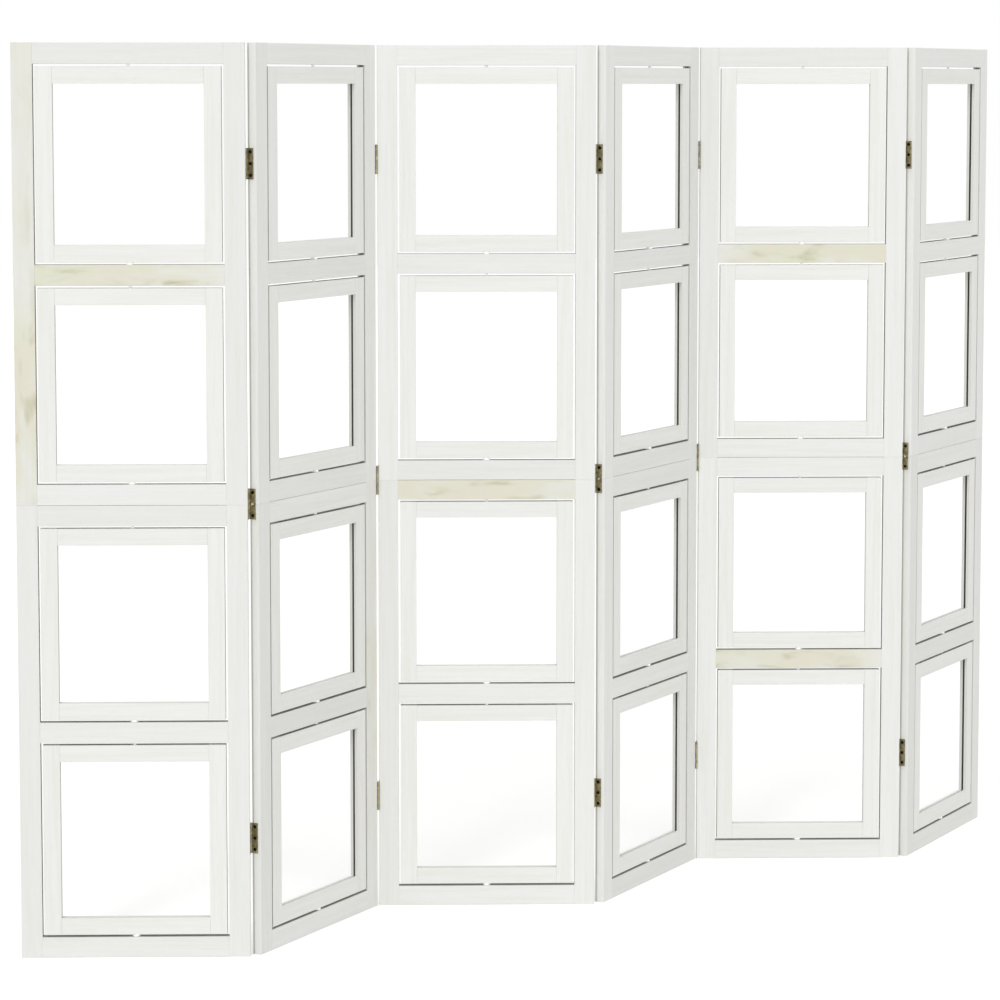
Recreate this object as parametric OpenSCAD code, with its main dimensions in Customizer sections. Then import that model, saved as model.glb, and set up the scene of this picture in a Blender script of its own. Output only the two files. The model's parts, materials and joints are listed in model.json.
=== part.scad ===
// Folding screen of six hinged wooden panels. Each panel is two half panels, one
// standing on the other, and holds four photo frames one above another. Every photo
// frame swivels about an upright pivot at its middle.
//
// The screen stands on z = 0 with its front towards -y. Its origin is at the middle of
// its footprint. Panels count from the left, photo frames from the top.

/* [Screen] */
// Width of one panel
panel_w = 416; // [340:1:520]
// Height of one half panel
half_h = 830; // [640:1:1000]
// Thickness of the stiles and rails
panel_t = 18; // [17:0.5:28]
// Angle between each panel and the screen's long line
fold_angle = 30; // [10:1:55]

/* [Stiles and rails] */
// Width of a stile
stile_w = 38; // [34:1:60]
// Height of a rail
rail_h = 38; // [36:1:60]
// Length of the tenon at each end of a rail
tenon_l = 18; // [10:1:20]
// Thickness of a tenon
tenon_t = 8; // [5:0.5:10]
// Shoulder above and below a tenon
tenon_shoulder = 6; // [3:0.5:10]
// Open line between the rails where the half panels meet
seam_gap = 0.5; // [0.4:0.1:2]
// Diameter of the dowels that join the half panels
dowel_d = 6; // [4:0.5:8]
// Length of those dowels
dowel_l = 30; // [20:1:34]

/* [Photo frames] */
// Space round a photo frame in its opening
swing_gap = 4; // [3:0.5:8]
// Width of the bars of a photo frame
bar_w = 31; // [25:1:45]
// Thickness of a photo frame
frame_t = 16; // [12:0.5:17]
// Width of the slot that takes the photos
slot_w = 4.2; // [2:0.1:5]
// Depth of the slot in the bars
slot_depth = 6; // [3:0.5:8]
// Bevel on the long edges of every bar, stile and rail
edge_ease = 0.8; // [0.4:0.1:1.5]

/* [Pivots] */
// Diameter of a pivot pin
pivot_d = 6; // [4:0.5:8]
// Length of a pivot pin inside a rail, and inside a photo frame
pivot_in = 15; // [10:0.5:16]
// Outer diameter of the spacer ring under a photo frame
spacer_d = 13; // [10:0.5:15]

/* [Hinges] */
// Height of a hinge
hinge_h = 56; // [52:1:90]
// Width of a hinge leaf, measured from the face of the panel
leaf_w = 12.5; // [10:0.5:15]
// Thickness of a hinge leaf
leaf_t = 1; // [0.8:0.1:2]
// Diameter of the hinge pin
hinge_pin_d = 1.7; // [1.4:0.1:3]
// Distance from the end of the screen's height to the middle of a hinge
hinge_inset = 216; // [120:1:300]
// Distance between the screws of a hinge
screw_pitch = 21; // [18:0.5:22]
// Diameter of a screw
screw_d = 2.8; // [2:0.1:3.5]
// Diameter of a screw head
head_d = 6.6; // [4.5:0.1:7.5]
// Length of a screw below its head
screw_l = 13; // [8:0.5:16]

/* [Hidden] */
$fn = 48;
panel_count = 6;
tier_letters = "abcd"; // from the top down
tiers = len(tier_letters);
panels = [1:panel_count];
frames = [for (i = panels) for (k = [0:tiers - 1]) [i, k]];

glue_gap = 0.1; // between glued faces
running_gap = 0.05; // round a pin that turns in its hole
rub_gap = 0.3; // between parts that pass each other
pivot_end_gap = 0.5; // past the end of a pivot pin
cut = 1; // how far a cutting shape runs past a face

screen_h = 2 * half_h;
rails_per_half = 3;
open_w = panel_w - 2 * stile_w;
open_h = (half_h - rails_per_half * rail_h) / 2;
frame_w = open_w - 2 * swing_gap;
frame_h = open_h - 2 * swing_gap;
window_w = frame_w - 2 * bar_w;
window_h = frame_h - 2 * bar_w;
dowel_x = (stile_w - tenon_l) / 2;

// The hinge axis lies outside the panels, clear of both of their corners.
knuckle_r = hinge_pin_d / 2 + leaf_t;
axis_gap = leaf_t + rub_gap / 2;
axis_out = sqrt(pow(knuckle_r + rub_gap, 2) - pow(axis_gap, 2));
knuckles = 5;
knuckle_pitch = hinge_h / knuckles;
end_hinges = [hinge_inset, screen_h - hinge_inset]; // heights of their middles
hinge_heights = concat(end_hinges, half_h);
leaf_top = -(knuckle_r + rub_gap);
leaf_bottom = -(axis_out + leaf_w);
screw_y = (leaf_top + leaf_bottom) / 2;
screw_tip = screw_d; // length of a screw's point
slot_cut = screw_d / 5; // width and depth of the slot in a screw head

washed_wood = [0.92, 0.925, 0.90];
frame_wood = [0.935, 0.935, 0.92];
plain_wood = [0.80, 0.72, 0.58];
white_plastic = [0.95, 0.95, 0.94];
old_brass = [0.47, 0.42, 0.32];
dark_steel = [0.18, 0.16, 0.14];

panel_parts = ["stiles", "rails", "dowels", "pivots", "hinge_leaves", "hinge_fasteners"];

function frame_name(f) = str("photo_frame_", f[0], tier_letters[f[1]]);

// Joint j is between panels j and j + 1. Its hinges are at the back where the joint
// points forward, and at the front where it points back.
function joint_side(j) = j % 2 == 1 ? 1 : -1;
function heading(i) = i % 2 == 1 ? -fold_angle : fold_angle;
function along(i) = [cos(heading(i)), sin(heading(i))];
function towards_back(i) = [-sin(heading(i)), cos(heading(i))];

// From a panel's middle line to the hinge axis outside its face
function axis_offset(j) = joint_side(j) * (panel_t / 2 + axis_out);

// From the axis at a panel's left to the one at its right
function axis_step(i) =
    (panel_w + 2 * axis_gap) * along(i) + (axis_offset(i) - axis_offset(i - 1)) * towards_back(i);

// Hinge axis of joint j from above. Joint 0 and the last one only end the row.
function axis_at(j) =
    j == panel_count / 2 ? [0, footprint_shift]
    : j > panel_count / 2 ? axis_at(j - 1) + axis_step(j)
    : axis_at(j + 1) - axis_step(j + 1);

// Puts the middle of the footprint at y = 0
footprint_shift = (panel_t / 2 + axis_out) * cos(fold_angle)
    - (panel_w / 2 + axis_gap) * sin(fold_angle);

// Left end of a panel's middle line from above
function panel_corner(i) =
    axis_at(i - 1) + axis_gap * along(i) - axis_offset(i - 1) * towards_back(i);

// Bottom of rail k and middle of opening k, counted from the floor
function rail_z(k) =
    floor(k / rails_per_half) * half_h + (k % rails_per_half) * (open_h + rail_h);
function opening_z(k) = floor(k / 2) * half_h + rail_h + open_h / 2 + (k % 2) * (open_h + rail_h);
function tier_z(k) = opening_z(tiers - 1 - k);

// ---- Placing ----

module in_panel(i) {
    corner = panel_corner(i);
    translate([corner[0], corner[1], 0])
        rotate([0, 0, heading(i)])
            children();
}

module at_openings() {
    for (k = [0:tiers - 1])
        translate([panel_w / 2, 0, opening_z(k)])
            children();
}

// Turns and moves a right-hand hinge leaf to an end of panel i and to each of the heights.
// Its children have the hinge axis as z, the panel towards -x, and its face towards +y.
module at_hinges(i, right, heights = hinge_heights) {
    j = right ? i : i - 1;
    end_x = right ? panel_w + axis_gap : -axis_gap;
    if (j >= 1 && j < panel_count)
        for (z = heights)
            translate([end_x, axis_offset(j), z])
                mirror([right ? 0 : 1, 0, 0])
                    mirror([0, joint_side(j) > 0 ? 0 : 1, 0])
                        children();
}

// Holes of a hinge leaf, as many pitches up from its middle as rows says
module at_leaf_holes(rows = [-1:1]) {
    for (n = rows)
        translate([-axis_gap, screw_y, n * screw_pitch])
            children();
}

// The screws of panel i. The middle hinge has none in its middle hole, which lies over the
// line between the half panels.
module at_screws(i) {
    for (right = [false, true]) {
        at_hinges(i, right, end_hinges)
            at_leaf_holes()
                children();
        at_hinges(i, right, [half_h])
            at_leaf_holes([-1, 1])
                children();
    }
}

// ---- Wood ----

// Bar along z with bevelled long edges, its middle line on the z axis
module bar(w, t, l) {
    x = w / 2;
    y = t / 2;
    e = edge_ease;
    linear_extrude(l)
        polygon([
            [x - e, -y], [x, e - y], [x, y - e], [x - e, y],
            [e - x, y], [-x, y - e], [-x, e - y], [e - x, -y]
        ]);
}

// The same bar along x
module cross_bar(h, t, l) {
    rotate([90, 0, 90])
        rotate([0, 0, 90])
            bar(h, t, l);
}

module mortise(z, h) {
    translate([
        stile_w - tenon_l - glue_gap,
        -tenon_t / 2 - glue_gap,
        z + tenon_shoulder - glue_gap
    ])
        cube([tenon_l + cut, tenon_t + 2 * glue_gap, h - 2 * tenon_shoulder + 2 * glue_gap]);
}

// Left-hand stile of one half panel. The lower one ends just under the upper one.
module stile(half) {
    difference() {
        translate([stile_w / 2, 0, half * half_h])
            bar(stile_w, panel_t, half_h - (half == 0 ? glue_gap : 0));
        for (k = [0:rails_per_half - 1])
            mortise(rail_z(half * rails_per_half + k), rail_h);
        translate([dowel_x, 0, half_h])
            cylinder(d = dowel_d + 2 * glue_gap, h = dowel_l + 2 * glue_gap, center = true);
    }
}

module panel_stiles(i) {
    color(washed_wood)
        in_panel(i)
            difference() {
                for (half = [0:1]) {
                    stile(half);
                    translate([panel_w, 0, 0])
                        mirror([1, 0, 0])
                            stile(half);
                }
                at_screws(i)
                    screw_hole();
            }
}

// Half of the line between the half panels comes off each of the rails that meet there.
module rail(k) {
    under_seam = k == rails_per_half - 1;
    over_seam = k == rails_per_half;
    low = rail_z(k) + (over_seam ? seam_gap / 2 : 0);
    high = rail_z(k) + rail_h - (under_seam ? seam_gap / 2 : 0);
    translate([stile_w, 0, (low + high) / 2])
        cross_bar(high - low, panel_t, open_w);
    translate([stile_w - tenon_l, -tenon_t / 2, rail_z(k) + tenon_shoulder])
        cube([open_w + 2 * tenon_l, tenon_t, rail_h - 2 * tenon_shoulder]);
}

module panel_rails(i) {
    color(washed_wood)
        in_panel(i)
            difference() {
                for (k = [0:2 * rails_per_half - 1])
                    rail(k);
                at_openings()
                    cylinder(d = pivot_d, h = open_h + 2 * pivot_in, center = true);
            }
}

// Dowels in the ends of the stiles that join the half panels
module panel_dowels(i) {
    color(plain_wood)
        in_panel(i)
            for (x = [dowel_x, panel_w - dowel_x])
                translate([x, 0, half_h])
                    cylinder(d = dowel_d, h = dowel_l, center = true);
}

// Pins that the photo frames turn on, and the spacer rings that carry the frames
module panel_pivots(i) {
    color(white_plastic)
        in_panel(i)
            at_openings() {
                for (end = [-1, 1])
                    translate([0, 0, end * open_h / 2])
                        pivot_pin(end);
                translate([0, 0, -open_h / 2])
                    spacer_ring();
            }
}

// From the face of the rail: into it along end, and the other way into the photo frame
module pivot_pin(end) {
    length = 2 * pivot_in + swing_gap;
    translate([0, 0, end * (pivot_in - length / 2)])
        cylinder(d = pivot_d, h = length, center = true);
}

module spacer_ring() {
    difference() {
        cylinder(d = spacer_d, h = swing_gap - rub_gap);
        translate([0, 0, -cut])
            cylinder(d = pivot_d + 2 * running_gap, h = swing_gap + 2 * cut);
    }
}

// ---- Hinges ----

function knuckle_z(n) = (n - (knuckles - 1) / 2) * knuckle_pitch;

module knuckle_rows(first) {
    for (n = [first:2:knuckles - 1])
        translate([0, 0, knuckle_z(n)])
            children();
}

// The leaf with knuckle 0 holds the pin, and the other one turns on it.
module hinge_leaf(first) {
    pin_gap = first == 0 ? 0 : running_gap;
    knuckle_h = knuckle_pitch - rub_gap;
    difference() {
        union() {
            translate([-axis_gap, leaf_bottom, -hinge_h / 2])
                cube([leaf_t, leaf_top - leaf_bottom, hinge_h]);
            knuckle_rows(first) {
                cylinder(r = knuckle_r, h = knuckle_h, center = true);
                translate([-axis_gap, leaf_top - leaf_t, -knuckle_h / 2])
                    cube([leaf_t, leaf_t - leaf_top, knuckle_h]);
            }
        }
        cylinder(d = hinge_pin_d + 2 * pin_gap, h = hinge_h + 2 * cut, center = true);
        at_leaf_holes()
            countersink();
    }
}

// Hole through a leaf, widening towards its outer face
module countersink() {
    shank = screw_d + 2 * glue_gap;
    mouth = head_d + 2 * glue_gap;
    rotate([0, 90, 0]) {
        translate([0, 0, -cut])
            cylinder(d = shank, h = cut);
        cylinder(d1 = shank, d2 = mouth, h = leaf_t);
        translate([0, 0, leaf_t])
            cylinder(d = mouth, h = cut);
    }
}

module screw_hole() {
    rotate([0, -90, 0])
        translate([0, 0, -cut])
            cylinder(d = screw_d + 2 * glue_gap, h = screw_l + cut + glue_gap);
}

module screw() {
    difference() {
        union() {
            rotate([0, 90, 0])
                cylinder(d1 = screw_d, d2 = head_d, h = leaf_t);
            rotate([0, -90, 0])
                cylinder(d = screw_d, h = screw_l - screw_tip);
            translate([screw_tip - screw_l, 0, 0])
                rotate([0, -90, 0])
                    cylinder(d1 = screw_d, d2 = screw_d / 4, h = screw_tip);
        }
        translate([leaf_t, 0, 0])
            cube([2 * slot_cut, slot_cut, head_d + cut], center = true);
    }
}

module panel_hinge_leaves(i) {
    color(old_brass)
        in_panel(i) {
            at_hinges(i, true)
                hinge_leaf(0);
            at_hinges(i, false)
                hinge_leaf(1);
        }
}

module panel_hinge_fasteners(i) {
    color(dark_steel)
        in_panel(i) {
            at_screws(i)
                screw();
            at_hinges(i, true)
                cylinder(d = hinge_pin_d, h = hinge_h, center = true);
        }
}

// ---- Photo frames ----

// Upright bar on the right. The slot for the photos runs right through it.
module slotted_bar() {
    difference() {
        translate([(frame_w - bar_w) / 2, 0, -frame_h / 2])
            bar(bar_w, frame_t, frame_h);
        translate([frame_w / 2 - bar_w - cut, -slot_w / 2, -frame_h / 2 - cut])
            cube([bar_w + 2 * cut, slot_w, frame_h + 2 * cut]);
    }
}

// Upright bar on the left, with a groove for the edge of the photos
module grooved_bar() {
    groove_h = window_h + 2 * bar_w - 2 * slot_depth;
    difference() {
        translate([(bar_w - frame_w) / 2, 0, -frame_h / 2])
            bar(bar_w, frame_t, frame_h);
        translate([-window_w / 2 - slot_depth, -slot_w / 2, -groove_h / 2])
            cube([slot_depth + cut, slot_w, groove_h]);
    }
}

// Top bar: a groove under it, a stub tongue on the left, and on the right a tongue that
// the slotted bar closes on. The bottom bar is the same one upside down.
module tongued_bar() {
    tongue_t = slot_w - 2 * glue_gap;
    tongue_z = window_h / 2 + slot_depth + glue_gap;
    length = window_w - 2 * glue_gap;
    stub_x = -window_w / 2 - slot_depth + glue_gap;
    difference() {
        translate([-length / 2, 0, (frame_h - bar_w) / 2])
            cross_bar(bar_w, frame_t, length);
        translate([-length / 2 - cut, -slot_w / 2, window_h / 2 - cut])
            cube([length + 2 * cut, slot_w, slot_depth + cut]);
        translate([0, 0, frame_h / 2 - pivot_in - pivot_end_gap])
            cylinder(d = pivot_d + 2 * running_gap, h = pivot_in + pivot_end_gap + cut);
    }
    translate([stub_x, -tongue_t / 2, tongue_z])
        cube([slot_depth + cut, tongue_t, bar_w - 2 * slot_depth - 2 * glue_gap]);
    translate([window_w / 2 - cut, -tongue_t / 2, tongue_z])
        cube([bar_w + cut, tongue_t, frame_h / 2 - tongue_z]);
}

module photo_frame(f) {
    color(frame_wood)
        in_panel(f[0])
            translate([panel_w / 2, 0, tier_z(f[1])]) {
                slotted_bar();
                grooved_bar();
                tongued_bar();
                mirror([0, 0, 1])
                    tongued_bar();
            }
}

for (i = panels) {
    panel_stiles(i);
    panel_rails(i);
    panel_dowels(i);
    panel_pivots(i);
    panel_hinge_leaves(i);
    panel_hinge_fasteners(i);
}
for (f = frames) {
    photo_frame(f);
}
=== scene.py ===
"""Looks of the photo frame room divider: its boards, finishes, floor, light and camera.

Sizes are in millimetres, as on the bench, and MM turns them to the scene's metres. A panel's
own frame has x across it, y towards its back and z up, with its origin on the floor at the
middle of the panel.
"""

import json
import math

import bpy
from mathutils import Matrix, Vector

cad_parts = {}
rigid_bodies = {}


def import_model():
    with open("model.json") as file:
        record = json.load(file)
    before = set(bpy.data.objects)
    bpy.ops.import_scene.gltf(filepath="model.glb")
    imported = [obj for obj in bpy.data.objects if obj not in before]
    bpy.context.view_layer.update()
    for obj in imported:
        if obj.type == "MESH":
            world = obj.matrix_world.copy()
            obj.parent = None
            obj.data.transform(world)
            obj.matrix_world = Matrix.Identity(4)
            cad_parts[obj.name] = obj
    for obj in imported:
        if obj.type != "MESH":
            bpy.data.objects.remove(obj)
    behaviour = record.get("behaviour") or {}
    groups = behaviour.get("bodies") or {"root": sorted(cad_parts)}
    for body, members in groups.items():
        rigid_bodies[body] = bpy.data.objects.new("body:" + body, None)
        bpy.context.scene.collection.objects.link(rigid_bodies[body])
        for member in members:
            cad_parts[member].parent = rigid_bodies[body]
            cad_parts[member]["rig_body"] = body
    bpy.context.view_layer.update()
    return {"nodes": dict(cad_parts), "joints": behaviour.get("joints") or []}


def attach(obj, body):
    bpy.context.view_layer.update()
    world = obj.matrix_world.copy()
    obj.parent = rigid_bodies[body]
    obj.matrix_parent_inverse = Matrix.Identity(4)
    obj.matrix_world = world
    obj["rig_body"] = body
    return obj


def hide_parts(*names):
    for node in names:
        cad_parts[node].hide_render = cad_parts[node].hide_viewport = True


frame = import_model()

scene = bpy.context.scene

# ---- Sizes of the real object ----

MM = 0.001
PANELS = range(1, 7)
TIERS = "abcd"                # photo frames of a panel, from the top down
PANEL_W = 416
HALF_H = 830                  # two half panels stand on each other
HALF_RAILS = 3                # in a half panel, with an opening between each two
PANEL_T = 18
FOLD_ANGLE = 30               # odd panels turn this much one way, even panels the other way
STILE_W = 38
RAIL_H = 38
TENON_L = 18
TENON_T = 8
TENON_SHOULDER = 6            # of a rail, above and below its tenon
SEAM_GAP = 0.5                # line between the rails that meet at mid height
DOWEL_D = 6
DOWEL_L = 30
SWING_GAP = 4                 # round a photo frame
BAR_W = 31
FRAME_T = 16
SLOT_W = 4.2                  # groove that holds the photos
SLOT_DEPTH = 6
PIVOT_D = 6
PIVOT_IN = 15                 # how far a pivot pin sits in a rail and in a photo frame
OUTER_EASE = 1.5              # how far sanding rounds a panel's outline
INNER_EASE = 0.6              # and its edges at the openings
FRAME_EASE = 0.4              # the same on a photo frame
END_EASE = 0.15               # along a board at its ends, which butt against others
GLUE_GAP = 0.1                # play in a glued joint
CUT = 1                       # how far a cutter stands out of what it cuts

OPEN_W = PANEL_W - 2 * STILE_W
OPEN_H = (HALF_H - HALF_RAILS * RAIL_H) / (HALF_RAILS - 1)
RAIL_PITCH = OPEN_H + RAIL_H
FRAME_W = OPEN_W - 2 * SWING_GAP
FRAME_H = OPEN_H - 2 * SWING_GAP
WINDOW_W = FRAME_W - 2 * BAR_W
WINDOW_H = FRAME_H - 2 * BAR_W

# ---- Camera, as the photograph was taken ----

IMAGE_PX = 1000
SENSOR_MM = 36
FOCAL_PX = 3289.9
CAMERA_AT = (-3427.7, -5378.2, 1580.9)
CAMERA_YAW = 31.31            # from the screen's own depth direction, towards its right
CAMERA_PITCH = 5.09           # downwards
CAMERA_SHIFT = -0.12          # keeps the uprights nearly parallel, as in the photograph


# ---- Node helper ----

def add(tree, kind, inputs=None, **settings):
    """Adds a node. inputs maps a socket's name or number to a value, a socket, a node whose
    first output in use is meant, or a list of these. Mix and Compare nodes repeat their
    sockets' names, so these go by number: in Mix 2 and 3 for numbers, 4 and 5 for vectors and
    6 and 7 for colours, and in Compare 2 and 3 for whole numbers."""
    node = tree.nodes.new(kind)
    for name, value in settings.items():
        setattr(node, name, value)
    for key, given in (inputs or {}).items():
        for value in given if isinstance(given, list) else [given]:
            if isinstance(value, bpy.types.Node):
                value = next(output for output in value.outputs if output.enabled)
            if isinstance(value, bpy.types.NodeSocket):
                tree.links.new(value, node.inputs[key])
            else:
                node.inputs[key].default_value = value
    return node


def mm(*sizes):
    """Sizes in millimetres as a vector in metres."""
    return tuple(size * MM for size in sizes)


# ---- Boards, as geometry nodes ----

ROUNDING_ROWS = 2             # rows of faces on each side of an edge that round it


def new_tree(name, inputs):
    """A geometry node tree with named inputs: (tree, what it is given)."""
    tree = bpy.data.node_groups.new(name, "GeometryNodeTree")
    tree.interface.new_socket("Geometry", in_out="OUTPUT", socket_type="NodeSocketGeometry")
    for label, kind in inputs.items():
        tree.interface.new_socket(label, in_out="INPUT", socket_type="NodeSocket" + kind)
    return tree, add(tree, "NodeGroupInput").outputs


def end_tree(tree, geometry):
    add(tree, "NodeGroupOutput", {0: geometry})
    return tree


def eased_block_tree():
    """A block with rounded edges: the outer rows of a cube's points are drawn in to arcs.
    Seen along Across, its lower half has one easing and its upper half the other."""
    tree, given = new_tree("Eased block", {
        "Size": "Vector", "Across": "Vector", "Lower Easing": "Vector",
        "Upper Easing": "Vector"})
    rows = 2 * ROUNDING_ROWS + 1
    cube = add(tree, "GeometryNodeMeshCube",
               {"Vertices X": rows + 1, "Vertices Y": rows + 1, "Vertices Z": rows + 1})
    position = add(tree, "GeometryNodeInputPosition")
    side = add(tree, "ShaderNodeVectorMath", {0: position}, operation="SIGN")
    reach = add(tree, "ShaderNodeVectorMath", {0: position}, operation="ABSOLUTE")
    height = add(tree, "ShaderNodeVectorMath", {0: position, 1: given["Across"]},
                 operation="DOT_PRODUCT")
    upper = add(tree, "ShaderNodeMath", {0: height, 1: 0.0}, operation="GREATER_THAN")
    easing = add(tree, "ShaderNodeMix",
                 {0: upper, 4: given["Lower Easing"], 5: given["Upper Easing"]},
                 data_type="VECTOR")
    steepness = rows / ROUNDING_ROWS
    # 1 on the outermost row of points and 0 on the innermost one
    row = add(tree, "ShaderNodeVectorMath",
              {0: reach, 1: (steepness,) * 3, 2: (1 - steepness / 2,) * 3},
              operation="MULTIPLY_ADD")
    outwards = add(tree, "ShaderNodeVectorMath", {0: side, 1: row}, operation="MULTIPLY")
    outwards = add(tree, "ShaderNodeVectorMath", {0: outwards}, operation="NORMALIZE")
    arc = add(tree, "ShaderNodeVectorMath", {0: outwards, 1: easing}, operation="MULTIPLY")
    core = add(tree, "ShaderNodeVectorMath", {0: given["Size"], "Scale": 0.5}, operation="SCALE")
    core = add(tree, "ShaderNodeVectorMath", {0: core, 1: easing}, operation="SUBTRACT")
    block = add(tree, "ShaderNodeVectorMath", {0: side, 1: core, 2: arc},
                operation="MULTIPLY_ADD")
    placed = add(tree, "GeometryNodeSetPosition", {"Geometry": cube, "Position": block})
    return end_tree(tree, placed)


def board_marks_tree():
    """Marks each point of a board with its place in that board, as (length, width,
    thickness), with the board's half sizes in the same order, with how much painted shade
    darkens its lower and its upper edge, and with the board's number."""
    tree, given = new_tree("Board marks", {
        "Geometry": "Geometry", "Centre": "Vector", "Size": "Vector", "Upright": "Bool",
        "Lower Edge": "Vector", "Upper Edge": "Vector", "Board": "Int"})
    place = add(tree, "ShaderNodeVectorMath",
                {0: add(tree, "GeometryNodeInputPosition"), 1: given["Centre"]},
                operation="SUBTRACT")
    half = add(tree, "ShaderNodeVectorMath", {0: given["Size"], "Scale": 0.5}, operation="SCALE")
    marked = given["Geometry"]
    for name, vector in (("grain", place), ("half_size", half)):
        x, y, z = add(tree, "ShaderNodeSeparateXYZ", {0: vector}).outputs
        level = add(tree, "ShaderNodeCombineXYZ", {0: x, 1: z, 2: y})
        upright = add(tree, "ShaderNodeCombineXYZ", {0: z, 1: x, 2: y})
        turned = add(tree, "GeometryNodeSwitch",
                     {"Switch": given["Upright"], "False": level, "True": upright},
                     input_type="VECTOR")
        marked = add(tree, "GeometryNodeStoreNamedAttribute",
                     {"Geometry": marked, "Name": name, "Value": turned},
                     data_type="FLOAT_VECTOR", domain="POINT")
    for name, edge in (("lower_edge", "Lower Edge"), ("upper_edge", "Upper Edge")):
        marked = add(tree, "GeometryNodeStoreNamedAttribute",
                     {"Geometry": marked, "Name": name, "Value": given[edge]},
                     data_type="FLOAT_VECTOR", domain="POINT")
    marked = add(tree, "GeometryNodeStoreNamedAttribute",
                 {"Geometry": marked, "Name": "board", "Value": given["Board"]},
                 data_type="INT", domain="POINT")
    return end_tree(tree, marked)


FULL_WASH = (0, 1, 0)         # a thin patch of no strength: its place, reach and strength
FINISH = {"Seed": "Int", "Thin Wash Board": "Int", "Other Thin Wash Board": "Int",
          "Thin Wash": "Vector", "Thin All Over": "Float", "Material": "Material"}


def board_luck_tree():
    """Gives each board its own piece of the grain, thin wash on the boards that have it, and
    the material. One board differs from the next by its number and the seed. The second of
    two boards with thin wash has its patch mirrored."""
    tree, given = new_tree("Board luck", {
        "Geometry": "Geometry", **FINISH})
    board = add(tree, "GeometryNodeInputNamedAttribute", {"Name": "board"}, data_type="INT")
    luck = add(tree, "FunctionNodeRandomValue", {"ID": board, "Seed": given["Seed"]},
               data_type="FLOAT_VECTOR")
    first, second = [
        add(tree, "FunctionNodeCompare", {2: board, 3: given[name]},
            data_type="INT", operation="EQUAL")
        for name in ("Thin Wash Board", "Other Thin Wash Board")]
    mirrored = add(tree, "ShaderNodeVectorMath", {0: given["Thin Wash"], 1: (-1, 1, 1)},
                   operation="MULTIPLY")
    thin = add(tree, "GeometryNodeSwitch",
               {"Switch": second, "False": FULL_WASH, "True": mirrored}, input_type="VECTOR")
    thin = add(tree, "GeometryNodeSwitch",
               {"Switch": first, "False": thin, "True": given["Thin Wash"]},
               input_type="VECTOR")
    marked = given["Geometry"]
    for name, vector in (("luck", luck), ("thin_wash", thin)):
        marked = add(tree, "GeometryNodeStoreNamedAttribute",
                     {"Geometry": marked, "Name": name, "Value": vector},
                     data_type="FLOAT_VECTOR", domain="POINT")
    marked = add(tree, "GeometryNodeStoreNamedAttribute",
                 {"Geometry": marked, "Name": "thin_all_over", "Value": given["Thin All Over"]},
                 data_type="FLOAT", domain="POINT")
    flat = add(tree, "GeometryNodeSetShadeSmooth", {"Geometry": marked, "Shade Smooth": False})
    finished = add(tree, "GeometryNodeSetMaterial",
                   {"Geometry": flat, "Material": given["Material"]})
    return end_tree(tree, finished)


EASED_BLOCK = eased_block_tree()
BOARD_MARKS = board_marks_tree()
BOARD_LUCK = board_luck_tree()
HOLE_SIDES = 24               # facets round a bored hole
UPPER = 10                    # added to a board's number in the upper half panel


def box_at(tree, size, at):
    """A sharp box, as a cutter or a tongue."""
    box = add(tree, "GeometryNodeMeshCube", {"Size": size})
    return add(tree, "GeometryNodeTransform", {"Geometry": box, "Translation": at})


def pin_at(tree, radius, depth, at):
    """A round upright cutter."""
    pin = add(tree, "GeometryNodeMeshCylinder",
              {"Vertices": HOLE_SIDES, "Radius": radius, "Depth": depth})
    return add(tree, "GeometryNodeTransform", {"Geometry": pin, "Translation": at})


EASING = {"Outer Easing": "Float", "Inner Easing": "Float", "End Easing": "Float"}

# What a board's edge faces: how much painted shade darkens it (along its rims, deep in, and
# on the side where a hinge closes the joint, as a painted shadow), and what rounds the rims.
# Gaps round the photo frames get much painted shade, windows' sides less, level edges none.
OUTSIDE = ((0, 0, 0), "Outer Easing")
SEAM = ((0, 0, 0), "Inner Easing")
WINDOW_SIDE = ((0.25, 0.25, 0), "Inner Easing")
WINDOW_LEVEL = ((0, 0, 0), "Inner Easing")
GAP = ((0.5, 1, 0), "Inner Easing")
STILE_GAP = ((0, 1, 0), "Inner Easing")


def board(tree, given, size, at, number, edges, upright=False, tongues=(), cutters=()):
    """An eased board in its place, with what is left standing on it and what is cut out.
    edges says what its lower (or left) and its upper (or right) edge face."""
    lower, upper = [
        add(tree, "ShaderNodeCombineXYZ",
            {0: given[easing if upright else "End Easing"], 1: given[easing],
             2: given["End Easing" if upright else easing]})
        for _, easing in edges]
    block = add(tree, "GeometryNodeGroup", node_tree=EASED_BLOCK,
                inputs={"Size": size, "Across": (1, 0, 0) if upright else (0, 0, 1),
                        "Lower Easing": lower, "Upper Easing": upper})
    shape = add(tree, "GeometryNodeTransform", {"Geometry": block, "Translation": at})
    if tongues:
        shape = add(tree, "GeometryNodeMeshBoolean", {1: [shape, *tongues]},
                    operation="UNION", solver="EXACT")
    if cutters:
        shape = add(tree, "GeometryNodeMeshBoolean", {0: shape, 1: list(cutters)},
                    operation="DIFFERENCE", solver="EXACT")
    return add(tree, "GeometryNodeGroup", node_tree=BOARD_MARKS,
               inputs={"Geometry": shape, "Centre": at, "Size": size, "Upright": upright,
                       "Lower Edge": edges[0][0], "Upper Edge": edges[1][0],
                       "Board": number})


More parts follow.
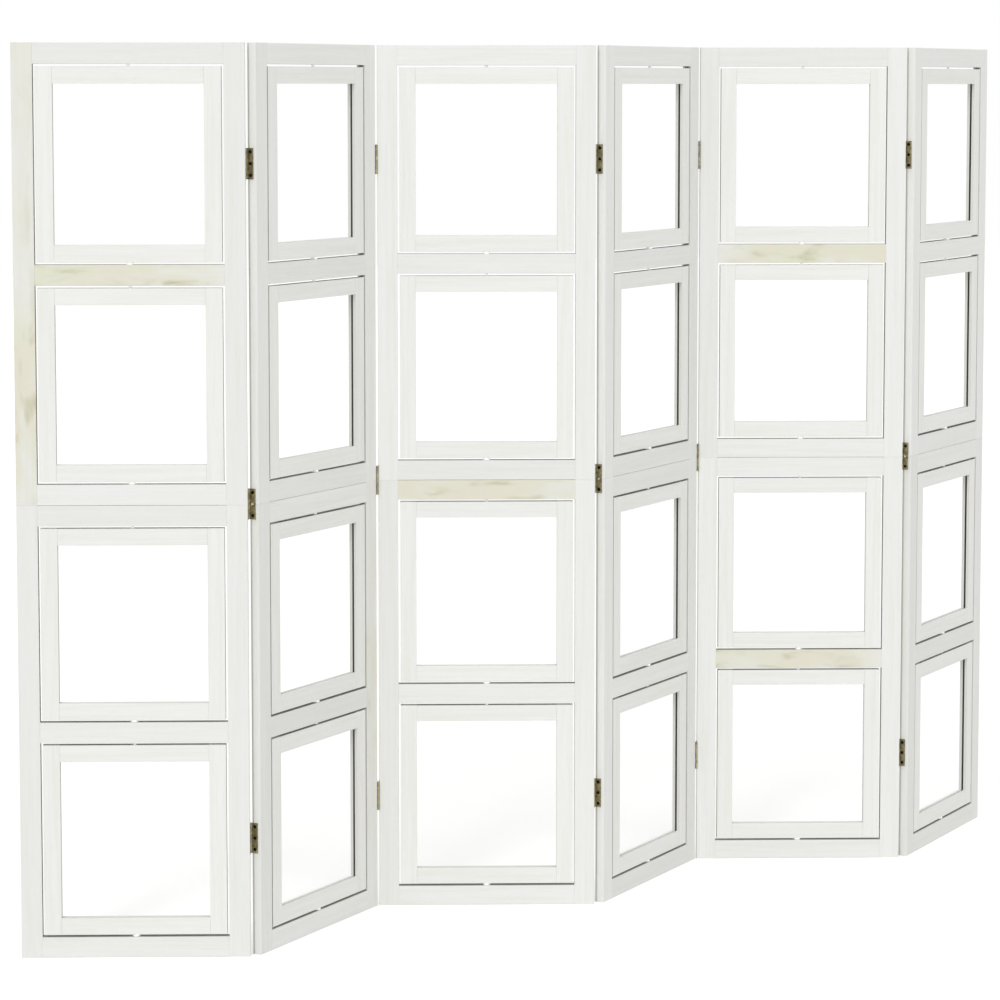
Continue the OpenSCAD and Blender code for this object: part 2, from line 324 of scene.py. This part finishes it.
def both_halves(tree, lower, screen_h):
    """The lower half panel and, turned over about mid height, the upper one."""
    upper = add(tree, "GeometryNodeTransform",
                {"Geometry": lower, "Rotation": (math.pi, 0, 0),
                 "Translation": add(tree, "ShaderNodeCombineXYZ", {2: screen_h})})
    number = add(tree, "GeometryNodeInputNamedAttribute", {"Name": "board"}, data_type="INT")
    number = add(tree, "ShaderNodeMath", {0: number, 1: UPPER}, operation="ADD")
    upper = add(tree, "GeometryNodeStoreNamedAttribute",
                {"Geometry": upper, "Name": "board", "Value": number},
                data_type="INT", domain="POINT")
    # what was its back is its front now, so hinges close the joint, and the painted shadow
    # beside them lies, on the other side of it
    edge = add(tree, "GeometryNodeInputNamedAttribute", {"Name": "lower_edge"},
               data_type="FLOAT_VECTOR")
    edge = add(tree, "ShaderNodeVectorMath", {0: edge, 1: (1, 1, -1)}, operation="MULTIPLY")
    upper = add(tree, "GeometryNodeStoreNamedAttribute",
                {"Geometry": upper, "Name": "lower_edge", "Value": edge},
                data_type="FLOAT_VECTOR", domain="POINT")
    return add(tree, "GeometryNodeJoinGeometry", {0: [lower, upper]})


def end_boards(tree, given, boards):
    """Board luck and material on everything, as the tree's result."""
    boards = add(tree, "GeometryNodeRealizeInstances", {0: boards})
    luck = add(tree, "GeometryNodeGroup", node_tree=BOARD_LUCK,
               inputs={"Geometry": boards, **{name: given[name] for name in FINISH}})
    return end_tree(tree, luck)


def stiles_tree():
    """The four stiles of a panel. One is shaped, and the others are it, turned."""
    tree, given = new_tree("Stiles", {
        "Stile": "Vector", "Stile At": "Vector", "Mortise": "Vector", "Mortise At": "Vector",
        "Rail Pitch": "Float", "Dowel Radius": "Float", "Dowel Length": "Float",
        "Dowel At": "Vector", "Screen Height": "Float", "Left Hinge": "Float",
        "Right Hinge": "Float", **EASING, **FINISH})
    row = add(tree, "GeometryNodeMeshLine",
              {"Count": HALF_RAILS, "Start Location": given["Mortise At"],
               "Offset": add(tree, "ShaderNodeCombineXYZ", {2: given["Rail Pitch"]})})
    mortises = add(tree, "GeometryNodeInstanceOnPoints",
                   {"Points": row,
                    "Instance": add(tree, "GeometryNodeMeshCube", {"Size": given["Mortise"]})})
    mortises = add(tree, "GeometryNodeRealizeInstances", {0: mortises})
    dowel_hole = pin_at(tree, given["Dowel Radius"], given["Dowel Length"], given["Dowel At"])
    # each stile's outer edge carries the side on which the painted hinge shadow lies
    left, right = [
        board(tree, given, given["Stile"], given["Stile At"], number,
              ((add(tree, "ShaderNodeCombineXYZ", {2: given[hinge]}), "Outer Easing"),
               STILE_GAP), upright=True, cutters=[mortises, dowel_hole])
        for number, hinge in enumerate(("Left Hinge", "Right Hinge"))]
    right = add(tree, "GeometryNodeTransform", {"Geometry": right, "Rotation": (0, 0, math.pi)})
    half = add(tree, "GeometryNodeJoinGeometry", {0: [left, right]})
    return end_boards(tree, given, both_halves(tree, half, given["Screen Height"]))


def rails_tree():
    """The six rails of a panel: three of a half panel, and the same three turned over."""
    tree, given = new_tree("Rails", {
        "Rail": "Vector", "Seam Rail": "Vector", "Tenon": "Vector", "First Rail At": "Vector",
        "Seam Rail At": "Vector", "Rail Pitch": "Float", "Pivot Radius": "Float",
        "Pivot Length": "Float", "Opening At": "Vector", "Screen Height": "Float",
        **EASING, **FINISH})
    pitch = add(tree, "ShaderNodeCombineXYZ", {2: given["Rail Pitch"]})
    steps = [add(tree, "ShaderNodeVectorMath", {0: pitch, "Scale": float(step)},
                 operation="SCALE") for step in range(HALF_RAILS)]
    rail_at = [add(tree, "ShaderNodeVectorMath", {0: given["First Rail At"], 1: step},
                   operation="ADD") for step in steps]
    pivots = [pin_at(tree, given["Pivot Radius"], given["Pivot Length"],
                     add(tree, "ShaderNodeVectorMath", {0: given["Opening At"], 1: step},
                         operation="ADD")) for step in steps[:-1]]
    rails = [
        board(tree, given, given["Seam Rail" if SEAM in edges else "Rail"],
              given["Seam Rail At"] if SEAM in edges else at, number, edges,
              tongues=[box_at(tree, given["Tenon"], at)], cutters=pivots)
        for number, (at, edges) in enumerate(zip(
            rail_at, ((OUTSIDE, GAP), (GAP, GAP), (GAP, SEAM))))]
    half = add(tree, "GeometryNodeJoinGeometry", {0: rails})
    return end_boards(tree, given, both_halves(tree, half, given["Screen Height"]))


def photo_frame_tree():
    """A photo frame about its own middle: a slotted bar, a grooved bar, and a tongued top
    bar that is used again upside down."""
    tree, given = new_tree("Photo frame", {
        "Side Bar": "Vector", "Side Bar At": "Vector", "Top Bar": "Vector",
        "Top Bar At": "Vector", "Side Groove": "Vector", "Side Groove At": "Vector",
        "Top Groove": "Vector", "Top Groove At": "Vector", "Stub": "Vector",
        "Stub At": "Vector", "Tongue": "Vector", "Tongue At": "Vector", "Slot": "Vector",
        "Pivot Radius": "Float", "Pivot Depth": "Float", "Pivot At": "Vector",
        **EASING, **FINISH})
    other_side = add(tree, "ShaderNodeVectorMath", {0: given["Side Bar At"], 1: (-1, 1, 1)},
                     operation="MULTIPLY")
    grooved = board(tree, given, given["Side Bar"], given["Side Bar At"], 0,
                    (GAP, WINDOW_SIDE), upright=True,
                    cutters=[box_at(tree, given["Side Groove"], given["Side Groove At"])])
    slotted = board(tree, given, given["Side Bar"], other_side, 1, (WINDOW_SIDE, GAP),
                    upright=True, cutters=[box_at(tree, given["Slot"], other_side)])
    level = [
        board(tree, given, given["Top Bar"], given["Top Bar At"], number, (WINDOW_LEVEL, GAP),
              tongues=[box_at(tree, given["Stub"], given["Stub At"]),
                       box_at(tree, given["Tongue"], given["Tongue At"])],
              cutters=[box_at(tree, given["Top Groove"], given["Top Groove At"]),
                       pin_at(tree, given["Pivot Radius"], given["Pivot Depth"],
                              given["Pivot At"])])
        for number in (2, 3)]
    level[1] = add(tree, "GeometryNodeTransform",
                   {"Geometry": level[1], "Rotation": (math.pi, 0, 0)})
    bars = add(tree, "GeometryNodeJoinGeometry", {0: [grooved, slotted, *level]})
    return end_boards(tree, given, bars)


def built(name, tree, values, place):
    """The tree's result with these inputs, as a plain mesh in its place in the row."""
    piece = bpy.data.objects.new(name, bpy.data.meshes.new(name))
    scene.collection.objects.link(piece)
    modifier = piece.modifiers.new("Boards", "NODES")
    modifier.node_group = tree
    for item in tree.interface.items_tree:
        if item.in_out == "INPUT":
            modifier[item.identifier] = values[item.name]
    graph = bpy.context.evaluated_depsgraph_get()
    mesh = bpy.data.meshes.new_from_object(piece.evaluated_get(graph), depsgraph=graph)
    piece.modifiers.remove(modifier)
    mesh.transform(place)
    mesh.name = name
    piece.data = mesh
    return piece


# ---- Finishes ----

def linear(hex_colour):
    """An sRGB hex colour as linear RGBA."""
    parts = [int(hex_colour[i:i + 2], 16) / 255 for i in (1, 3, 5)]
    return (*[c / 12.92 if c <= 0.04045 else ((c + 0.055) / 1.055) ** 2.4 for c in parts], 1)


def new_material(name):
    """An empty material: (material, tree)."""
    material = bpy.data.materials.new(name)
    material.use_nodes = True
    material.node_tree.nodes.clear()
    return material, material.node_tree


def end_material(tree, inputs):
    """The shader with these inputs, and the output."""
    add(tree, "ShaderNodeOutputMaterial", {0: add(tree, "ShaderNodeBsdfPrincipled", inputs)})


LOG = (9, 5, 3)               # metres of log that boards come from, in length and across
PATCH_CORE = 0.5              # share of a thin patch's reach in which it is at full strength
HINGE_SHADOW_STRIP = (4, 6)          # mm from an edge's middle: the painted shadow beside a hinge starts, is full
HINGE_SHADOW_DARKNESS = 0.55       # how dark that painted shadow is there
RIM_DEPTH = (2, 6)            # mm under a face: the rim's painted shade ends, that deep in is reached
EDGE_SHADE_DEPTH = (0.4, 0.1)       # mm under an edge: its painted shade starts, is full
GROOVE_SHADE_DEPTH = (0.4, 0.9)     # mm under every face: the darkest painted shade of grooves and holes starts, is full


def whitewashed_paulownia(name, wash, thinner_wash, unlike):
    """Whitewashed paulownia, planed and sanded: a chalky, nearly flat white that lets long
    soft grain show through, and here and there the green-brown wood where it went on thin.
    Painted shade darkens gaps and the windows' sides, most of all the grooves and holes in them,
    and a strip of the panels' outer edges on the side where hinges close the joint.
    unlike is how much greyer than the whitest board the greyest is."""
    material, tree = new_material(name)
    grain, half, luck, thin, lower_edge, upper_edge = [
        add(tree, "ShaderNodeAttribute", attribute_name=label).outputs["Vector"]
        for label in ("grain", "half_size", "luck", "thin_wash", "lower_edge", "upper_edge")]
    # each board is cut from another part of the same log
    log = add(tree, "ShaderNodeVectorMath", {0: luck, 1: LOG, 2: grain},
              operation="MULTIPLY_ADD")

    # soft marks along the board: their usual length and width in mm, detail and distortion.
    # Real pores are about a third as wide, which would be too fine to show.
    streaks, pores, cloud, blush, smudges = [
        add(tree, "ShaderNodeTexNoise",
            {"Vector": add(tree, "ShaderNodeVectorMath",
                           {0: log, 1: (1 / (length * MM), 1 / (width * MM), 1 / (width * MM))},
                           operation="MULTIPLY"),
             "Scale": 1.0, "Detail": detail, "Roughness": 0.55, "Distortion": distortion})
        for length, width, detail, distortion in (
            (240, 9, 4.0, 0.3), (30, 0.9, 2.0, 0.0), (150, 45, 1.0, 0.4), (110, 40, 1.0, 0.4),
            (80, 26, 2.0, 0.5))]

    # where the wash is thin: the patch's place along the board, its reach and its strength
    along, across, through = add(tree, "ShaderNodeSeparateXYZ", {0: grain}).outputs
    thin_at, thin_reach, thin_strength = add(tree, "ShaderNodeSeparateXYZ", {0: thin}).outputs
    away = add(tree, "ShaderNodeMath", {0: along, 1: thin_at}, operation="SUBTRACT")
    away = add(tree, "ShaderNodeMath", {0: away, 1: thin_reach}, operation="DIVIDE")
    away = add(tree, "ShaderNodeMath", {0: away}, operation="ABSOLUTE")
    all_over = add(tree, "ShaderNodeAttribute", attribute_name="thin_all_over").outputs["Fac"]
    around = add(tree, "ShaderNodeMath", {0: thin_strength, 1: all_over}, operation="MULTIPLY")
    patch = add(tree, "ShaderNodeMapRange",
                {"Value": away, "From Min": 1.0, "From Max": PATCH_CORE, "To Min": around,
                 "To Max": thin_strength}, interpolation_type="SMOOTHSTEP")

    # how deep a point lies under the board's own faces, which is 0 on them
    deep = add(tree, "ShaderNodeVectorMath",
               {0: half, 1: add(tree, "ShaderNodeVectorMath", {0: grain}, operation="ABSOLUTE")},
               operation="SUBTRACT")
    deep_end, deep_edge, deep_face = add(tree, "ShaderNodeSeparateXYZ", {0: deep}).outputs
    deepest = add(tree, "ShaderNodeMath", {0: deep_end, 1: deep_edge}, operation="MINIMUM")
    deepest = add(tree, "ShaderNodeMath", {0: deepest, 1: deep_face}, operation="MINIMUM")
    upper_side = add(tree, "ShaderNodeMath", {0: across, 1: 0.0}, operation="GREATER_THAN")
    edge = add(tree, "ShaderNodeMix", {0: upper_side, 4: lower_edge, 5: upper_edge},
               data_type="VECTOR")
    at_rim, deep_in, hinge = add(tree, "ShaderNodeSeparateXYZ", {0: edge}).outputs
    # painted shade: where an edge has painted shade deep in, its grooves and holes get the
    # darkest grey
    groove_shade = add(tree, "ShaderNodeMath", {0: deep_in, 1: 0.0}, operation="GREATER_THAN")
    # painted shadow: a strip of the outer edge beside the hinge, where the neighbouring panel
    # shades it
    hinge_shadow = add(tree, "ShaderNodeMath", {0: through, 1: hinge}, operation="MULTIPLY")
    strip_start, strip_end = mm(*HINGE_SHADOW_STRIP)
    hinge_shadow = add(tree, "ShaderNodeMapRange",
                   {"Value": hinge_shadow, "From Min": strip_start, "From Max": strip_end,
                    "To Max": HINGE_SHADOW_DARKNESS})
    # painted shade along an edge, from its rim's amount to the amount deep in, with the painted
    # hinge shadow added
    rim_start, rim_end = mm(*RIM_DEPTH)
    edge = add(tree, "ShaderNodeMapRange",
               {"Value": deep_face, "From Min": rim_start, "From Max": rim_end,
                "To Min": at_rim, "To Max": deep_in})
    edge = add(tree, "ShaderNodeMath", {0: edge, 1: hinge_shadow}, operation="ADD")

    # one layer on another: from where to where its value brings it in, how much, its colour
    tone, *_ = add(tree, "ShaderNodeSeparateXYZ", {0: luck}).outputs
    colour = linear(wash)
    for value, start, end, most, layer in (
            (streaks, 0.35, 0.7, 1.0, thinner_wash),
            (tone, 0.2, 1.0, unlike, "#DBDCD7"),
            (pores, 0.5, 0.75, 0.14, "#CFCCBD"),
            (cloud, 0.2, 0.65, patch, "#E0E1CB"),
            (blush, 0.3, 0.7, patch, "#E4DFCF"),
            (smudges, 0.5, 0.86, patch, "#B9B693"),
            # painted shade: grey on edges in gaps, on windows' sides and beside hinges, and
            # darker grey in grooves and holes
            (deep_edge, *mm(*EDGE_SHADE_DEPTH), edge, "#A5A398"),
            (deepest, *mm(*GROOVE_SHADE_DEPTH), groove_shade, "#8C8981")):
        amount = add(tree, "ShaderNodeMapRange",
                     {"Value": value, "From Min": start, "From Max": end, "To Max": most},
                     interpolation_type="SMOOTHSTEP")
        colour = add(tree, "ShaderNodeMix", {0: amount, 6: colour, 7: linear(layer)},
                     data_type="RGBA")

    relief = add(tree, "ShaderNodeMath", {0: pores, 1: streaks}, operation="ADD")
    end_material(tree, {
        "Base Color": colour,
        "Roughness": add(tree, "ShaderNodeMapRange",
                         {"Value": pores, "From Min": 0.3, "From Max": 0.8, "To Min": 0.52,
                          "To Max": 0.66}),
        "IOR": 1.45,
        "Specular IOR Level": 0.35,
        "Normal": add(tree, "ShaderNodeBump",
                      {"Strength": 0.25, "Distance": 0.15 * MM, "Height": relief})})
    return material


def turned_beech(name):
    """Beech, turned: plain pale brown with short flecks, for the hidden dowels."""
    material, tree = new_material(name)
    at = add(tree, "ShaderNodeVectorMath",
             {0: add(tree, "ShaderNodeTexCoord").outputs["Object"],
              1: (1 / (1.2 * MM), 1 / (1.2 * MM), 1 / (9 * MM))}, operation="MULTIPLY")
    flecks = add(tree, "ShaderNodeTexNoise", {"Vector": at, "Scale": 1.0, "Detail": 3.0})
    end_material(tree, {
        "Base Color": add(tree, "ShaderNodeMix",
                          {0: flecks, 6: linear("#D9BE94"), 7: linear("#B8925F")},
                          data_type="RGBA"),
        "Roughness": 0.6,
        "Specular IOR Level": 0.4})
    return material


PAINTED_GLOW = 0.34          # how much the nylon glows by itself, as painted light that keeps it white in the gaps' shade


def moulded_nylon(name):
    """White nylon, moulded: milky and glossy, with a painted glow that keeps it white down in
    the shade of the gaps."""
    material, tree = new_material(name)
    cloud = add(tree, "ShaderNodeTexNoise",
                {"Vector": add(tree, "ShaderNodeTexCoord").outputs["Object"],
                 "Scale": 1 / (3 * MM), "Detail": 2.0})
    end_material(tree, {
        "Base Color": add(tree, "ShaderNodeMix",
                          {0: cloud, 6: linear("#FCFCFA"), 7: linear("#F6F6F3")},
                          data_type="RGBA"),
        "Roughness": 0.25,
        "IOR": 1.53,
        "Specular IOR Level": 1.0,
        # painted light: the nylon glows by itself so that it stays white in the gaps' shade
        "Emission Color": (1, 1, 1, 1),
        "Emission Strength": PAINTED_GLOW,
        "Subsurface Weight": 0.6,
        "Subsurface Radius": (1, 1, 1),
        "Subsurface Scale": 4 * MM,
        "Normal": add(tree, "ShaderNodeBump",
                      {"Strength": 0.1, "Distance": 0.05 * MM, "Height": cloud})})
    return material


def antique_brass(name):
    """Antique brass, pressed from sheet: brown patina with worn yellow-olive patches. Its
    scratches are drawn several times as coarse as real ones, which wouldn't show."""
    material, tree = new_material(name)
    at = add(tree, "ShaderNodeTexCoord").outputs["Object"]
    patina = add(tree, "ShaderNodeTexNoise",
                 {"Vector": at, "Scale": 1 / (6 * MM), "Detail": 5.0, "Roughness": 0.6})
    scratches = add(tree, "ShaderNodeTexNoise",
                    {"Vector": add(tree, "ShaderNodeVectorMath",
                                   {0: at, 1: (1 / (0.4 * MM), 1 / (0.4 * MM), 1 / (6 * MM))},
                                   operation="MULTIPLY"),
                     "Scale": 1.0, "Detail": 2.0})
    wear = add(tree, "ShaderNodeMapRange", {"Value": patina, "From Min": 0.4, "From Max": 0.62})
    end_material(tree, {
        "Base Color": add(tree, "ShaderNodeMix",
                          {0: wear, 6: linear("#8F8873"), 7: linear("#BCB592")},
                          data_type="RGBA"),
        "Metallic": 1.0,
        "Roughness": add(tree, "ShaderNodeMapRange",
                         {"Value": scratches, "To Min": 0.32, "To Max": 0.52}),
        "Normal": add(tree, "ShaderNodeBump",
                      {"Strength": 0.2, "Distance": 0.05 * MM, "Height": scratches})})
    return material


def bronzed_steel(name):
    """Steel, bronzed and tumbled: nearly black brown with a dull gleam on its high spots."""
    material, tree = new_material(name)
    spots = add(tree, "ShaderNodeTexNoise",
                {"Vector": add(tree, "ShaderNodeTexCoord").outputs["Object"],
                 "Scale": 1 / (1.5 * MM), "Detail": 3.0})
    end_material(tree, {
        "Base Color": add(tree, "ShaderNodeMix",
                          {0: spots, 6: linear("#2A241C"), 7: linear("#4A4032")},
                          data_type="RGBA"),
        "Metallic": 1.0,
        "Roughness": 0.42})
    return material


def seen(tree):
    """1 for what the camera sees, also in a reflection or through glass, and 0 for light."""
    ray = add(tree, "ShaderNodeLightPath").outputs
    direct = add(tree, "ShaderNodeMath",
                 {0: ray["Is Camera Ray"], 1: ray["Is Glossy Ray"]}, operation="MAXIMUM")
    return add(tree, "ShaderNodeMath",
               {0: direct, 1: ray["Is Transmission Ray"]}, operation="MAXIMUM")


FLOOR_LIFT = 0.4              # brings the lit floor up to the background's white


def studio_floor(name):
    """Studio floor, painted matt: white to the camera where nothing shades it, so that it
    runs into the white background and keeps only the shadow."""
    material, tree = new_material(name)
    cloud = add(tree, "ShaderNodeTexNoise",
                {"Vector": add(tree, "ShaderNodeTexCoord").outputs["Object"], "Scale": 1.5})
    end_material(tree, {
        "Base Color": add(tree, "ShaderNodeMix",
                          {0: cloud, 6: linear("#E4E4E2"), 7: linear("#E8E8E6")},
                          data_type="RGBA"),
        "Roughness": 0.9,
        "Specular IOR Level": 0.1,
        "Emission Color": (1, 1, 1, 1),
        "Emission Strength": add(tree, "ShaderNodeMath", {0: seen(tree), 1: FLOOR_LIFT},
                                 operation="MULTIPLY")})
    return material


PANEL_WOOD = whitewashed_paulownia("paulownia_whitewashed_planed", "#EFF0EE", "#EBEBE7", 0.3)
FRAME_WOOD = whitewashed_paulownia("paulownia_whitewashed_sanded", "#F1F2EF", "#EDEDE8", 0.1)
NODE_FINISH = {
    "dowels": turned_beech("beech_turned"),
    "pivots": moulded_nylon("nylon_moulded"),
    "hinge_leaves": antique_brass("antique_brass_pressed"),
    "hinge_fasteners": bronzed_steel("steel_bronzed_tumbled"),
}

# ---- The boards in their places ----

HOLD = {joint["child"]: joint for joint in frame["joints"]}


def in_panel(panel, height=0.0):
    """Turns a panel's own frame, raised by a height, to the row's."""
    x, y, _ = HOLD[f"frame_{panel}a"]["pos_m"]
    heading = math.radians(-FOLD_ANGLE if panel % 2 else FOLD_ANGLE)
    return Matrix.Translation((x, y, height)) @ Matrix.Rotation(heading, 4, "Z")


def stand_for(piece, node):
    """The piece takes the node's place: its body."""
    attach(piece, frame["nodes"][node]["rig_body"])
    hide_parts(node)


NONE = -1                     # the number of no board
CLEAN = (NONE, NONE, *FULL_WASH, 0)
FRAME_SEEDS = 100             # where the photo frames' seeds start, past the panels' own

# Where the wash went on thin: (panel, part) to (one or two boards' numbers, how far from
# the board's middle it lies, or to the other side on the second board, how far it reaches
# to each side, how strong it is, and what share of that lies all over the board).
THIN_WASH = {
    (1, "stiles"): (UPPER, NONE, 220, 195, 0.9, 0.3),
    (1, "rails"): (UPPER + 1, NONE, -80, 280, 0.9, 0.1),
    (2, "stiles"): (1, NONE, 0, 165, 0.4, 0.3),
    (3, "rails"): (2, NONE, -70, 320, 0.9, 0.1),
    (5, "rails"): (UPPER + 1, 1, 90, 285, 0.95, 0.05),
}


def hinge_values(panel):
    """To which side of a panel's outer edges hinges close the joints, and so where a painted
    shadow
    strip darkens them: 1 or -1, or 0 for none.
    """
    side = -1.0 if panel % 2 else 1.0
    return {"Left Hinge": 0.0 if panel == PANELS[0] else side,
            "Right Hinge": 0.0 if panel == PANELS[-1] else side}


def finish_values(seed, thin=CLEAN, material=PANEL_WOOD):
    """What every tree of boards is given for its boards' luck, thin wash and material."""
    number, other, at, reach, strength, all_over = thin
    return {"Seed": seed, "Thin Wash Board": number, "Other Thin Wash Board": other,
            "Thin Wash": (at * MM, reach * MM, strength), "Thin All Over": float(all_over),
            "Material": material}


TENON_H = RAIL_H - 2 * TENON_SHOULDER
SCREEN_H = 2 * HALF_H
STILE_X = (STILE_W - PANEL_W) / 2
EASINGS = {"Outer Easing": OUTER_EASE * MM, "Inner Easing": INNER_EASE * MM,
           "End Easing": END_EASE * MM}
STILES = {
    "Stile": mm(STILE_W, PANEL_T, HALF_H),
    "Stile At": mm(STILE_X, 0, HALF_H / 2),
    "Mortise": mm(TENON_L + GLUE_GAP + CUT, TENON_T + 2 * GLUE_GAP, TENON_H + 2 * GLUE_GAP),
    "Mortise At": mm(STILE_X + (STILE_W - TENON_L - GLUE_GAP + CUT) / 2, 0, RAIL_H / 2),
    "Rail Pitch": RAIL_PITCH * MM,
    "Dowel Radius": (DOWEL_D / 2 + GLUE_GAP) * MM,
    "Dowel Length": (DOWEL_L + 2 * GLUE_GAP) * MM,
    "Dowel At": mm(STILE_X - TENON_L / 2, 0, HALF_H),
    "Screen Height": SCREEN_H * MM,
    **EASINGS,
}
RAILS = {
    "Rail": mm(OPEN_W, PANEL_T, RAIL_H),
    "Seam Rail": mm(OPEN_W, PANEL_T, RAIL_H - SEAM_GAP / 2),
    "Tenon": mm(OPEN_W + 2 * TENON_L, TENON_T, TENON_H),
    "First Rail At": mm(0, 0, RAIL_H / 2),
    "Seam Rail At": mm(0, 0, HALF_H - RAIL_H / 2 - SEAM_GAP / 4),
    "Rail Pitch": RAIL_PITCH * MM,
    "Pivot Radius": PIVOT_D / 2 * MM,
    "Pivot Length": (OPEN_H + 2 * PIVOT_IN) * MM,
    "Opening At": mm(0, 0, RAIL_H + OPEN_H / 2),
    "Screen Height": SCREEN_H * MM,
    **EASINGS,
}
TONGUE_LOW = WINDOW_H / 2 + SLOT_DEPTH + GLUE_GAP
STUB_H = BAR_W - 2 * SLOT_DEPTH - 2 * GLUE_GAP
TONGUE_H = FRAME_H / 2 - TONGUE_LOW
PHOTO_FRAME = {
    "Side Bar": mm(BAR_W, FRAME_T, FRAME_H),
    "Side Bar At": mm((BAR_W - FRAME_W) / 2, 0, 0),
    "Top Bar": mm(WINDOW_W - 2 * GLUE_GAP, FRAME_T, BAR_W),
    "Top Bar At": mm(0, 0, (FRAME_H - BAR_W) / 2),
    "Side Groove": mm(SLOT_DEPTH + CUT, SLOT_W, FRAME_H - 2 * SLOT_DEPTH),
    "Side Groove At": mm((CUT - WINDOW_W - SLOT_DEPTH) / 2, 0, 0),
    "Top Groove": mm(WINDOW_W + 2 * CUT, SLOT_W, SLOT_DEPTH + CUT),
    "Top Groove At": mm(0, 0, (WINDOW_H + SLOT_DEPTH - CUT) / 2),
    "Stub": mm(SLOT_DEPTH + CUT, SLOT_W - 2 * GLUE_GAP, STUB_H),
    "Stub At": mm((CUT - WINDOW_W - SLOT_DEPTH) / 2 + GLUE_GAP, 0, TONGUE_LOW + STUB_H / 2),
    "Tongue": mm(BAR_W + CUT, SLOT_W - 2 * GLUE_GAP, TONGUE_H),
    "Tongue At": mm((WINDOW_W + BAR_W - CUT) / 2, 0, TONGUE_LOW + TONGUE_H / 2),
    "Slot": mm(BAR_W + 2 * CUT, SLOT_W, FRAME_H + 2 * CUT),
    "Pivot Radius": PIVOT_D / 2 * MM,
    "Pivot Depth": (PIVOT_IN + CUT) * MM,
    "Pivot At": mm(0, 0, (FRAME_H - PIVOT_IN + CUT) / 2),
    **EASINGS,
    "Inner Easing": FRAME_EASE * MM,
}

stiles_shape = stiles_tree()
rails_shape = rails_tree()
photo_frame_shape = photo_frame_tree()

for panel in PANELS:
    for part, shape, sizes in (("stiles", stiles_shape, {**STILES, **hinge_values(panel)}),
                               ("rails", rails_shape, RAILS)):
        finish = finish_values(2 * panel + (part == "rails"),
                               THIN_WASH.get((panel, part), CLEAN))
        piece = built(f"panel_{panel}_{part}_boards", shape, {**sizes, **finish},
                      in_panel(panel))
        stand_for(piece, f"panel_{panel}_{part}")
    for part, finish in NODE_FINISH.items():
        node = frame["nodes"][f"panel_{panel}_{part}"]
        node.data.materials.clear()
        node.data.materials.append(finish)
    for number, tier in enumerate(TIERS):
        height = HOLD[f"frame_{panel}{tier}"]["pos_m"][2]
        seed = FRAME_SEEDS + len(TIERS) * panel + number
        piece = built(f"photo_frame_{panel}{tier}_bars", photo_frame_shape,
                      {**PHOTO_FRAME, **finish_values(seed, material=FRAME_WOOD)},
                      in_panel(panel, height))
        stand_for(piece, f"photo_frame_{panel}{tier}")

# ---- Floor, light and camera ----

FLOOR_SIZE = 40               # metres
CAMERA_REACH = 100            # metres, past the floor's far corners
SKY_IN_FRONT = 1.07           # light from all round, less of it from behind the screen
SKY_BEHIND = 0.48
SUN = 0.65                    # softbox on the left and in front
SUN_SIZE = 14                 # degrees that it spans
SUN_FROM = (-0.702, -0.549, 0.454)    # the direction in which it lies


def floor():
    """The studio floor, wide enough for any view."""
    mesh = bpy.data.meshes.new("studio_floor")
    side = FLOOR_SIZE / 2
    corners = [(-side, -side, 0), (side, -side, 0), (side, side, 0), (-side, side, 0)]
    mesh.from_pydata(corners, [], [(0, 1, 2, 3)])
    mesh.materials.append(studio_floor("floor_painted_matt"))
    plane = bpy.data.objects.new("studio_floor", mesh)
    scene.collection.objects.link(plane)


def world():
    """Even light on the object, and plain white to the camera and in reflections."""
    scene.world = bpy.data.worlds.new("studio")
    scene.world.use_nodes = True
    tree = scene.world.node_tree
    tree.nodes.clear()
    _, depth, _ = add(tree, "ShaderNodeSeparateXYZ",
                      {0: add(tree, "ShaderNodeTexCoord").outputs["Generated"]}).outputs
    light = add(tree, "ShaderNodeMapRange",
                {"Value": depth, "From Min": -1.0, "From Max": 1.0, "To Min": SKY_IN_FRONT,
                 "To Max": SKY_BEHIND})
    strength = add(tree, "ShaderNodeMix", {0: seen(tree), 2: light, 3: 1.0}, data_type="FLOAT")
    sky = add(tree, "ShaderNodeBackground", {"Color": (1, 1, 1, 1), "Strength": strength})
    add(tree, "ShaderNodeOutputWorld", {0: sky})


def sun():
    """The softbox, as a sun, so that it lights every pose alike."""
    lamp = bpy.data.lights.new("soft_sun", "SUN")
    lamp.energy = SUN
    lamp.angle = math.radians(SUN_SIZE)
    holder = bpy.data.objects.new("soft_sun", lamp)
    holder.rotation_euler = Vector(SUN_FROM).to_track_quat("Z", "Y").to_euler()
    scene.collection.objects.link(holder)


def camera():
    """The photograph's camera."""
    lens = bpy.data.cameras.new("camera")
    lens.sensor_width = SENSOR_MM
    lens.lens = FOCAL_PX * SENSOR_MM / IMAGE_PX
    lens.shift_y = CAMERA_SHIFT
    lens.clip_end = CAMERA_REACH
    holder = bpy.data.objects.new("camera", lens)
    holder.location = mm(*CAMERA_AT)
    holder.rotation_euler = (math.radians(90 - CAMERA_PITCH), 0, -math.radians(CAMERA_YAW))
    scene.collection.objects.link(holder)
    scene.camera = holder


floor()
world()
sun()
camera()
scene.view_settings.view_transform = "Standard"
